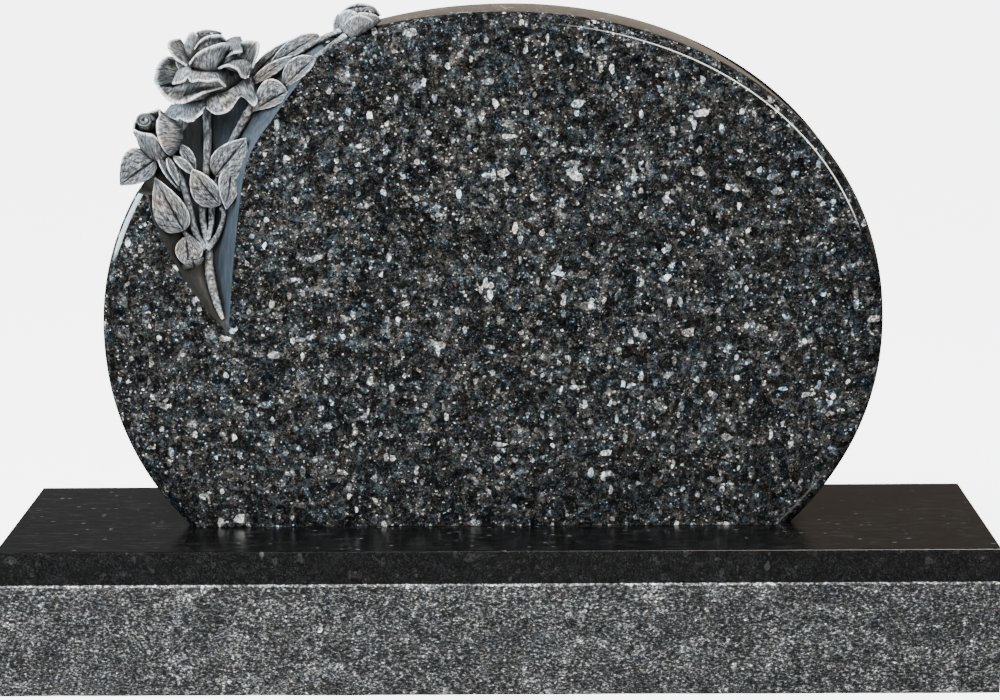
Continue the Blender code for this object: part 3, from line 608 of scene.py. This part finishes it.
def make_rock_body(material):
    """The base's body: rings of points round its four sides, pushed out by the relief."""
    half_width = BASE_WIDTH / 2 + ROCK_PROUD
    half_depth = BASE_DEPTH / 2 + ROCK_PROUD
    wide = round(2 * half_width / ROCK_CELL)
    deep = round(2 * half_depth / (1.6 * ROCK_CELL))
    tall = round((BASE_HEIGHT - MARGIN_HEIGHT) / ROCK_CELL)
    back = round(wide / 2.5)
    front = np.linspace(-half_width, half_width, wide + 1)[:-1]
    rear = np.linspace(half_width, -half_width, back + 1)[:-1]
    side = np.linspace(-half_depth, half_depth, deep + 1)[:-1]
    x = np.concatenate([front, np.full(deep, half_width), rear, np.full(deep, -half_width)])
    y = np.concatenate([np.full(wide, -half_depth), side, np.full(back, half_depth), -side])
    out_x = np.where(np.abs(x) >= half_width - 1e-9, np.sign(x), 0.0)
    out_y = np.where(np.abs(y) >= half_depth - 1e-9, np.sign(y), 0.0)
    up = np.linspace(0.0, BASE_HEIGHT - MARGIN_HEIGHT, tall + 1)[:, None]
    ends = 0.4 + 0.6 * smooth_step(0.0, 0.006, up) * smooth_step(0.0, 0.006, up[-1] - up)
    push = rock_relief((x + 2.3 * y)[None, :], up) * ends
    grid = np.stack([x + out_x * push, y + out_y * push, up + 0.0 * push], axis=-1)
    rows, columns, _ = grid.shape
    faces = grid_quads(rows, columns, closed=True)[0].tolist()
    faces.append(list(range(columns))[::-1])
    faces.append(list(range((rows - 1) * columns, rows * columns)))
    body = make_object("rock_faced_body", grid.reshape(-1, 3), faces)
    body.data.materials.append(material)
    body.data.set_sharp_from_angle(angle=math.radians(50.0))
    return body


def make_polished_top(material):
    """The base's polished slab: a rectangle's profile with a small arris, carried up."""
    steps = ((0.0, BASE_HEIGHT - MARGIN_HEIGHT - 0.010), (0.0, BASE_HEIGHT - BASE_ARRIS),
             (0.35 * BASE_ARRIS, BASE_HEIGHT - 0.35 * BASE_ARRIS), (BASE_ARRIS, BASE_HEIGHT))
    rings = []
    for inset, up in steps:
        x = BASE_WIDTH / 2 - inset
        y = BASE_DEPTH / 2 - inset
        rings.append([(-x, -y, up), (x, -y, up), (x, y, up), (-x, y, up)])
    grid = np.array(rings)
    faces = grid_quads(len(steps), 4, closed=True)[0].tolist()
    last = 4 * (len(steps) - 1)
    faces += [[3, 2, 1, 0], [last, last + 1, last + 2, last + 3]]
    top = make_object("polished_top", grid.reshape(-1, 3), faces)
    top.data.materials.append(material)
    top.data.set_sharp_from_angle(angle=math.radians(20.0))
    return top


def new_tree(material):
    """A material's node tree, with its shader and output alone, and the shader."""
    material.use_nodes = True
    tree = material.node_tree
    return tree, tree.nodes["Principled BSDF"]


def put(tree, kind, inputs=None, **settings):
    """A node with its settings; an input is a value or another node's output."""
    made = tree.nodes.new(kind)
    for name, value in settings.items():
        setattr(made, name, value)
    for key, value in (inputs or {}).items():
        socket = made.inputs[key]
        if isinstance(value, bpy.types.NodeSocket):
            tree.links.new(value, socket)
        else:
            socket.default_value = value
    return made


def maths(tree, operation, a, b=0.0, c=0.0):
    """The result of a sum on two or three values."""
    return put(tree, "ShaderNodeMath", {0: a, 1: b, 2: c}, operation=operation).outputs[0]


def ranged(tree, value, low, high, out_low=0.0, out_high=1.0):
    """A value carried from one range to another, held at its ends."""
    made = put(tree, "ShaderNodeMapRange", {"Value": value, "From Min": low, "From Max": high,
                                            "To Min": out_low, "To Max": out_high})
    made.interpolation_type = "SMOOTHSTEP"
    return made.outputs[0]


def mixed(tree, share, a, b, blend="MIX"):
    """Two colours mixed by a share."""
    made = put(tree, "ShaderNodeMix", {0: share, 6: a, 7: b}, data_type="RGBA", blend_type=blend)
    return made.outputs[2]


def scaled(tree, vector, size):
    """A vector times three numbers, or times one number or value."""
    key, operation = (1, "MULTIPLY") if isinstance(size, tuple) else ("Scale", "SCALE")
    made = put(tree, "ShaderNodeVectorMath", {0: vector, key: size}, operation=operation)
    return made.outputs[0]


def noise(tree, place, scale, detail, roughness=0.5):
    """The height of a noise at a place."""
    return put(tree, "ShaderNodeTexNoise", {"Vector": place, "Scale": scale, "Detail": detail,
                                            "Roughness": roughness}).outputs[0]


def bumped(tree, shader, height, strength, distance):
    """Tilt a shader's normal by a height, in metres of relief."""
    bump = put(tree, "ShaderNodeBump", {"Strength": strength, "Distance": distance,
                                        "Height": height})
    tree.links.new(bump.outputs[0], shader.inputs["Normal"])


def ramp(tree, value, stops, smooth=True):
    """A colour read from stops of (place, colour) along a value."""
    made = put(tree, "ShaderNodeValToRGB", {0: value})
    band = made.color_ramp
    band.interpolation = "LINEAR" if smooth else "CONSTANT"
    while len(band.elements) < len(stops):
        band.elements.new(0.5)
    for element, (place, colour) in zip(band.elements, stops):
        element.position = place
        element.color = (*colour, 1.0)
    return made.outputs[0]


def greys(places, values):
    """Ramp stops that are plain greys."""
    return tuple((place, (value, value, value)) for place, value in zip(places, values))


def crystal_group():
    """The stone's crystals: six sizes of stretched cells with ragged sides, each with a random
    tone of its own; a few of every size are far brighter than the rest. Tone is the sum of the
    tones, the power that granite raises, and Tint is a random number from 0 to 1."""
    group = bpy.data.node_groups.new("crystals", "ShaderNodeTree")
    group.interface.new_socket("Vector", in_out="INPUT", socket_type="NodeSocketVector")
    group.interface.new_socket("Tone", in_out="OUTPUT", socket_type="NodeSocketFloat")
    group.interface.new_socket("Tint", in_out="OUTPUT", socket_type="NodeSocketFloat")
    place = put(group, "NodeGroupInput").outputs["Vector"]
    result = put(group, "NodeGroupOutput")
    ragged = put(group, "ShaderNodeTexNoise", {"Vector": place, "Scale": 420.0, "Detail": 3.0,
                                               "Roughness": 0.7}).outputs["Color"]
    bent = put(group, "ShaderNodeVectorMath", {0: ragged, 1: (RAGGED, RAGGED, RAGGED), 2: place},
               operation="MULTIPLY_ADD").outputs[0]
    total = maths(group, "MULTIPLY_ADD", noise(group, place, 34.0, 3.0), 1.6, -0.8)
    tint = 0.0
    for turn, cell, plain, share, bright, tinge in CRYSTALS:
        cells = put(group, "ShaderNodeMapping", {"Vector": bent, "Rotation": turn,
                                                 "Scale": tuple(1.0 / size for size in cell)})
        found = put(group, "ShaderNodeTexVoronoi", {"Vector": cells.outputs[0], "Scale": 1.0})
        parts = put(group, "ShaderNodeSeparateColor", {0: found.outputs["Color"]}).outputs
        total = maths(group, "ADD", total, maths(group, "MULTIPLY_ADD", parts[0], plain,
                                                 -0.5 * plain))
        chosen = put(group, "ShaderNodeMapRange", {"Value": parts[1], "From Min": 1.0 - share,
                                                   "From Max": 1.0, "To Max": 1.0}).outputs[0]
        inside = ranged(group, found.outputs["Distance"], *FLAKE_EDGE, 1.0, 0.0)
        chosen = maths(group, "MULTIPLY", chosen, inside)
        total = maths(group, "MULTIPLY_ADD", maths(group, "POWER", chosen, 0.7), bright, total)
        tint = maths(group, "MULTIPLY_ADD", parts[2], tinge, tint)
    group.links.new(total, result.inputs["Tone"])
    group.links.new(ranged(group, tint, 0.24, 0.76), result.inputs["Tint"])
    return group


def granite(name, group, look):
    """Granite: colour is darkness times e to the power of spread times the crystals' tone, held
    under the brightest, and lightly tinted blue, grey or cream."""
    darkness, spread, tinted, roughness = look
    material = bpy.data.materials.new(name)
    tree, shader = new_tree(material)
    place = put(tree, "ShaderNodeTexCoord").outputs["Object"]
    stone = put(tree, "ShaderNodeGroup")
    stone.node_tree = group
    tree.links.new(place, stone.inputs[0])
    power = maths(tree, "MULTIPLY_ADD", stone.outputs["Tone"], spread, math.log(darkness))
    tone = maths(tree, "MINIMUM", maths(tree, "EXPONENT", power), BRIGHTEST)
    grey = put(tree, "ShaderNodeCombineColor", {0: tone, 1: tone, 2: tone}).outputs[0]
    colour = mixed(tree, tinted, grey, ramp(tree, stone.outputs["Tint"], TINTS), "MULTIPLY")
    tree.links.new(colour, shader.inputs["Base Color"])
    shader.inputs["Roughness"].default_value = roughness
    shader.inputs["IOR"].default_value = STONE_IOR
    return material


def rock_material(group):
    """The broken rock face: the same crystals, matte and paler, speckled by its rough grain,
    marked by faint slanting bands and bruised pale along its upper edge."""
    material = granite("rock_faced_granite", group, ROCK_FACED)
    tree = material.node_tree
    shader = tree.nodes["Principled BSDF"]
    place = put(tree, "ShaderNodeTexCoord").outputs["Object"]
    slanted = put(tree, "ShaderNodeMapping", {"Vector": place, "Rotation": (0.0, -0.3, 0.0),
                                              "Scale": (1.0, 1.0, 1.7)}).outputs[0]
    grain = noise(tree, slanted, 235.0, 4.0, 0.75)
    bands = noise(tree, slanted, 16.0, 4.0, 0.6)
    worn = maths(tree, "MULTIPLY_ADD", bands, 2.2, -1.1)
    worn = maths(tree, "ADD", worn, maths(tree, "MULTIPLY_ADD", grain, 16.0, -8.0))
    worn = maths(tree, "EXPONENT", worn)
    up = put(tree, "ShaderNodeSeparateXYZ", {0: place}).outputs[2]
    step = BASE_HEIGHT - MARGIN_HEIGHT
    worn = maths(tree, "MULTIPLY", worn, ranged(tree, up, step - 0.003, step - 0.001, 1.0, 5.0))
    plain = shader.inputs["Base Color"].links[0].from_socket
    tree.links.new(scaled(tree, plain, worn), shader.inputs["Base Color"])
    bumped(tree, shader, grain, 1.0, 0.0035)
    shader.inputs["Specular IOR Level"].default_value = 0.2
    return material


def top_material(group):
    """The base's dark top and margin: little of the crystals shows, least on the top. The top
    has sparse pale dashes and faint strokes that run along the base, the margin a fine grain."""
    material = granite("polished_dark", group, DARK)
    tree = material.node_tree
    shader = tree.nodes["Principled BSDF"]
    coords = put(tree, "ShaderNodeTexCoord").outputs
    place = coords["Object"]
    cells = put(tree, "ShaderNodeTexVoronoi", {"Vector": scaled(tree, place, (90.0, 230.0, 420.0)),
                                               "Scale": 1.0})
    chance = put(tree, "ShaderNodeSeparateColor", {0: cells.outputs["Color"]}).outputs[0]
    dash = maths(tree, "MULTIPLY", ranged(tree, chance, 0.93, 1.0),
                 ranged(tree, cells.outputs["Distance"], 0.10, 0.45, 0.14, 0.0))
    strokes = noise(tree, scaled(tree, place, (22.0, 150.0, 150.0)), 1.0, 5.0, 0.7)
    dash = maths(tree, "ADD", dash, ranged(tree, strokes, 0.48, 0.80, 0.0, 0.024))
    grain = ranged(tree, noise(tree, place, 560.0, 4.0, 0.75), 0.46, 0.84, 0.0, 0.030)
    level = put(tree, "ShaderNodeSeparateXYZ", {0: coords["Normal"]}).outputs[2]
    level = ranged(tree, level, 0.4, 0.9)
    plain = shader.inputs["Base Color"].links[0].from_socket
    colour = scaled(tree, plain, maths(tree, "MULTIPLY_ADD", level, -0.7, 1.0))
    marks = put(tree, "ShaderNodeMix", {0: level, 2: grain, 3: dash}).outputs[0]
    colour = put(tree, "ShaderNodeVectorMath", {0: colour, 1: marks}, operation="ADD").outputs[0]
    tree.links.new(colour, shader.inputs["Base Color"])
    return material


def hollow_group():
    """How open a place is to the air, 0 deep in a fold and 1 on the high parts, and how far it
    stands out as a ridge or rim."""
    group = bpy.data.node_groups.new("open_air", "ShaderNodeTree")
    group.interface.new_socket("Open", in_out="OUTPUT", socket_type="NodeSocketFloat")
    group.interface.new_socket("Rim", in_out="OUTPUT", socket_type="NodeSocketFloat")
    result = put(group, "NodeGroupOutput")
    near = put(group, "ShaderNodeAmbientOcclusion", {"Distance": 0.009}, samples=8)
    wide = put(group, "ShaderNodeAmbientOcclusion", {"Distance": 0.035}, samples=8)
    both = maths(group, "MULTIPLY", ranged(group, near.outputs["AO"], 0.35, 0.97, 0.12, 1.0),
                 ranged(group, wide.outputs["AO"], 0.15, 0.85, 0.05, 1.0))
    group.links.new(both, result.inputs["Open"])
    ridge = put(group, "ShaderNodeNewGeometry").outputs["Pointiness"]
    group.links.new(ranged(group, ridge, 0.505, 0.60), result.inputs["Rim"])
    return group


def carved_material(name, open_air, across, along, veins):
    """Carved matte stone: pale rims, mid-grey faces hatched along the piece's own UV, dark
    folds; veins draws a midrib and slanting side veins."""
    material = bpy.data.materials.new(name)
    tree, shader = new_tree(material)
    coords = put(tree, "ShaderNodeTexCoord").outputs
    place = coords["Object"]
    uv = coords["UV"]
    strokes = noise(tree, scaled(tree, uv, (across, along, 1.0)), 1.0, 4.0, 0.65)
    parts = put(tree, "ShaderNodeSeparateXYZ", {0: uv}).outputs
    side = maths(tree, "ABSOLUTE", maths(tree, "MULTIPLY_ADD", parts[0], 2.0, -1.0))
    edge = ranged(tree, side, 0.86, 0.99) if veins else ranged(tree, parts[1], 0.84, 0.97)
    patches = noise(tree, place, 60.0, 3.0, 0.6)
    tone = maths(tree, "ADD", maths(tree, "MULTIPLY_ADD", strokes, 1.0, -0.10),
                 maths(tree, "MULTIPLY", patches, 0.26))
    air = put(tree, "ShaderNodeGroup")
    air.node_tree = open_air
    rim = maths(tree, "MAXIMUM", edge, air.outputs["Rim"])
    tone = maths(tree, "ADD", tone, maths(tree, "MULTIPLY", rim, 0.20))
    relief = strokes
    if veins:
        slant = maths(tree, "SUBTRACT", maths(tree, "MULTIPLY", parts[1], 7.0),
                      maths(tree, "MULTIPLY", side, 2.1))
        comb = maths(tree, "PINGPONG", slant, 0.5)
        lines = maths(tree, "MINIMUM", ranged(tree, comb, 0.0, 0.13, 0.66, 1.0),
                      ranged(tree, side, 0.02, 0.11, 0.0, 1.0))
        tone = maths(tree, "SUBTRACT", tone,
                     maths(tree, "MULTIPLY", maths(tree, "SUBTRACT", 1.0, lines), 0.34))
        relief = maths(tree, "ADD", maths(tree, "MULTIPLY", strokes, 0.6), lines)
    grey = ramp(tree, tone, greys((0.34, 0.43, 0.50, 0.58, 0.67, 0.80),
                                  (0.012, 0.038, 0.092, 0.20, 0.42, 0.90)))
    tint = ramp(tree, noise(tree, place, 26.0, 1.0),
                ((0.38, (0.86, 0.96, 1.04)), (0.52, (0.94, 0.98, 1.0)), (0.66, (1.04, 0.98, 0.90))))
    colour = mixed(tree, 1.0, grey, tint, "MULTIPLY")
    colour = mixed(tree, air.outputs["Open"], FOLD_BLACK, colour)
    tree.links.new(colour, shader.inputs["Base Color"])
    bumped(tree, shader, relief, 1.0, 0.0018)
    shader.inputs["Roughness"].default_value = 0.5
    shader.inputs["Specular IOR Level"].default_value = 0.4
    return material


def cut_stone_material(open_air):
    """The hollow's wall: smooth-cut stone with faint strokes down it, blue-grey where it faces
    left and brownish where it faces right."""
    material = bpy.data.materials.new("cut_stone")
    tree, shader = new_tree(material)
    coords = put(tree, "ShaderNodeTexCoord").outputs
    strokes = noise(tree, scaled(tree, coords["Object"], (300.0, 300.0, 22.0)), 1.0, 4.0, 0.65)
    blue = ramp(tree, strokes, ((0.30, (0.010, 0.014, 0.018)), (0.5, (0.021, 0.028, 0.035)),
                                (0.70, (0.044, 0.056, 0.067))))
    brown = ramp(tree, strokes, ((0.30, (0.016, 0.016, 0.015)), (0.5, (0.026, 0.026, 0.024)),
                                 (0.70, (0.048, 0.048, 0.044))))
    facing = put(tree, "ShaderNodeSeparateXYZ", {0: coords["Normal"]}).outputs[0]
    colour = mixed(tree, ranged(tree, facing, -0.35, 0.12), blue, brown)
    air = put(tree, "ShaderNodeGroup")
    air.node_tree = open_air
    colour = mixed(tree, air.outputs["Open"], FOLD_BLACK, colour)
    tree.links.new(colour, shader.inputs["Base Color"])
    bumped(tree, shader, strokes, 0.3, 0.0006)
    shader.inputs["Roughness"].default_value = 0.6
    shader.inputs["Specular IOR Level"].default_value = 0.25
    return material


def make_camera():
    """The camera at the photograph's place and tilt."""
    data = bpy.data.cameras.new("photo_view")
    data.lens = CAMERA_LENS
    data.sensor_width = SENSOR_WIDTH
    camera = bpy.data.objects.new("photo_view", data)
    bpy.context.scene.collection.objects.link(camera)
    right = Vector((math.cos(CAMERA_YAW), math.sin(CAMERA_YAW), 0.0))
    level = Vector((-math.sin(CAMERA_YAW), math.cos(CAMERA_YAW), 0.0))
    sky = Vector((0.0, 0.0, 1.0))
    ahead = math.cos(CAMERA_PITCH) * level - math.sin(CAMERA_PITCH) * sky
    top = math.sin(CAMERA_PITCH) * level + math.cos(CAMERA_PITCH) * sky
    side = math.cos(CAMERA_ROLL) * right - math.sin(CAMERA_ROLL) * top
    lift = math.sin(CAMERA_ROLL) * right + math.cos(CAMERA_ROLL) * top
    turn = Matrix((side, lift, -ahead)).transposed().to_4x4()
    turn.translation = Vector(CAMERA_PLACE)
    camera.matrix_world = turn
    bpy.context.scene.camera = camera


def make_floor():
    """A plain white floor, dim to polished stone that mirrors it, as in a dark hall."""
    half = 40.0
    floor = make_object("floor", np.array([(-half, -half, 0.0), (half, -half, 0.0),
                                           (half, half, 0.0), (-half, half, 0.0)]),
                        [[0, 1, 2, 3]])
    material = bpy.data.materials.new("pale_floor")
    tree, shader = new_tree(material)
    shader.inputs["Roughness"].default_value = 1.0
    shader.inputs["Specular IOR Level"].default_value = 0.0
    rays = put(tree, "ShaderNodeLightPath").outputs
    colour = mixed(tree, rays["Is Glossy Ray"], (0.86, 0.86, 0.86, 1.0), (0.02, 0.02, 0.02, 1.0))
    tree.links.new(colour, shader.inputs["Base Color"])
    shader.inputs["Emission Color"].default_value = (1.0, 1.0, 1.0, 1.0)
    tree.links.new(maths(tree, "MULTIPLY", rays["Is Camera Ray"], WHITE_TO_CAMERA),
                   shader.inputs["Emission Strength"])
    floor.data.materials.append(material)
    floor.location = (0.0, 0.0, -0.0002)


def make_world():
    """Soft light all round, white to the camera. Polished stone mirrors a dim hall instead, with
    a low wall behind, grey at the left and brown at the right, a window at the left that is
    seen in one mirroring alone, and a narrow upright lamp at the front right."""
    world = bpy.data.worlds.new("hall")
    world.use_nodes = True
    tree = world.node_tree
    plain = tree.nodes["Background"]
    plain.inputs["Color"].default_value = (1.0, 1.0, 1.0, 1.0)
    rays = put(tree, "ShaderNodeLightPath").outputs
    tree.links.new(maths(tree, "MULTIPLY_ADD", rays["Is Camera Ray"], WHITE_TO_CAMERA,
                         SKY_STRENGTH), plain.inputs[1])
    way = put(tree, "ShaderNodeTexCoord").outputs["Generated"]
    parts = put(tree, "ShaderNodeSeparateXYZ", {0: way}).outputs
    behind = ranged(tree, parts[1], -0.1, 0.3)
    low = ranged(tree, parts[2], 0.12, 0.46, 1.0, 0.0)
    wall = mixed(tree, ranged(tree, parts[0], -0.16, -0.05), HALL_GREY, HALL_BROWN)
    hall = mixed(tree, maths(tree, "MULTIPLY", behind, low), HALL_DIM, wall)
    window = maths(tree, "LESS_THAN", rays["Ray Depth"], 2.5)
    for axis, outside, inside in WINDOW_SIDES:
        window = maths(tree, "MULTIPLY", window, ranged(tree, parts[axis], outside, inside))
    hall = mixed(tree, window, hall, WINDOW)
    line = maths(tree, "ABSOLUTE", maths(tree, "ADD", parts[1], 0.79))
    line = maths(tree, "MULTIPLY", ranged(tree, line, 0.030, 0.066, 1.0, 0.0),
                 ranged(tree, parts[2], 0.0, 0.10))
    line = maths(tree, "MULTIPLY", line, ranged(tree, parts[0], 0.05, 0.34))
    hall = mixed(tree, line, hall, LAMP_LINE)
    dim = put(tree, "ShaderNodeBackground", {"Color": hall, "Strength": 1.0})
    both = put(tree, "ShaderNodeMixShader", {0: rays["Is Glossy Ray"], 1: plain.outputs[0],
                                             2: dim.outputs[0]})
    tree.links.new(both.outputs[0], tree.nodes["World Output"].inputs["Surface"])
    bpy.context.scene.world = world


def make_light(name, place, target, size, power):
    """A soft rectangular lamp aimed at a point, which polished stone doesn't mirror."""
    data = bpy.data.lights.new(name, "AREA")
    data.shape = "RECTANGLE"
    data.size, data.size_y = size
    data.energy = power
    lamp = bpy.data.objects.new(name, data)
    bpy.context.scene.collection.objects.link(lamp)
    lamp.visible_glossy = False
    lamp.location = place
    aim = Vector(target) - Vector(place)
    lamp.rotation_euler = aim.to_track_quat("-Z", "Y").to_euler()


def build():
    """Every piece, on the one body and what it stands for."""
    crystals = crystal_group()
    open_air = hollow_group()
    polished = granite("polished_blue_grey", crystals, POLISHED)
    dark = top_material(crystals)
    rock = rock_material(crystals)
    petals = carved_material("carved_petals", open_air, 34.0, 4.0, False)
    leaves = carved_material("carved_leaves", open_air, 22.0, 9.0, True)
    bark = carved_material("carved_bark", open_air, 9.0, 26.0, False)

    slab = make_slab(polished, cut_stone_material(open_air))
    bloom = joined_sheets("rose_bloom", [petal_grid(row) for row in BLOOM_PETALS])
    buds = joined_sheets("rose_buds", [petal_grid(row)
                                       for row in LEFT_BUD_PETALS + RIGHT_BUD_PETALS])
    foliage = joined_sheets("rose_leaves", [leaf_grid(row) for row in LEAVES]
                            + [petal_grid(row) for row in LEAF_CURLS])
    thicken(bloom, PETAL_WALL)
    thicken(buds, PETAL_WALL)
    thicken(foliage, LEAF_WALL)
    stems = joined_tubes("rose_stems", [stem_grid(bends) for bends in STEMS])
    hearts = joined_tubes("rose_hearts", [swirl_grid(row) for row in SWIRLS])
    cores = joined_tubes("rose_backs", [mass_grid(row) for row in MASSES])
    body = make_rock_body(rock)
    top = make_polished_top(dark)

    for piece, material in ((bloom, petals), (buds, petals), (foliage, leaves), (stems, bark),
                            (hearts, petals), (cores, petals)):
        piece.data.materials.append(material)
        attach(piece, "root")
        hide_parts("headstone")
    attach(slab, "root")
    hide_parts("headstone")
    for piece in (body, top):
        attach(piece, "root")
        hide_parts("base")


make_camera()
make_world()
make_floor()
make_light("top_soft", (-0.9, -1.5, 2.7), (-0.2, 0.0, 0.6), (1.0, 0.8), 170.0)
make_light("front_soft", (1.6, -3.4, 1.9), (0.2, 0.0, 0.6), (0.8, 0.5), 30.0)
make_light("left_strip", (-2.4, -0.6, 1.0), (-0.3, 0.0, 0.6), (0.4, 1.6), 14.0)
build()
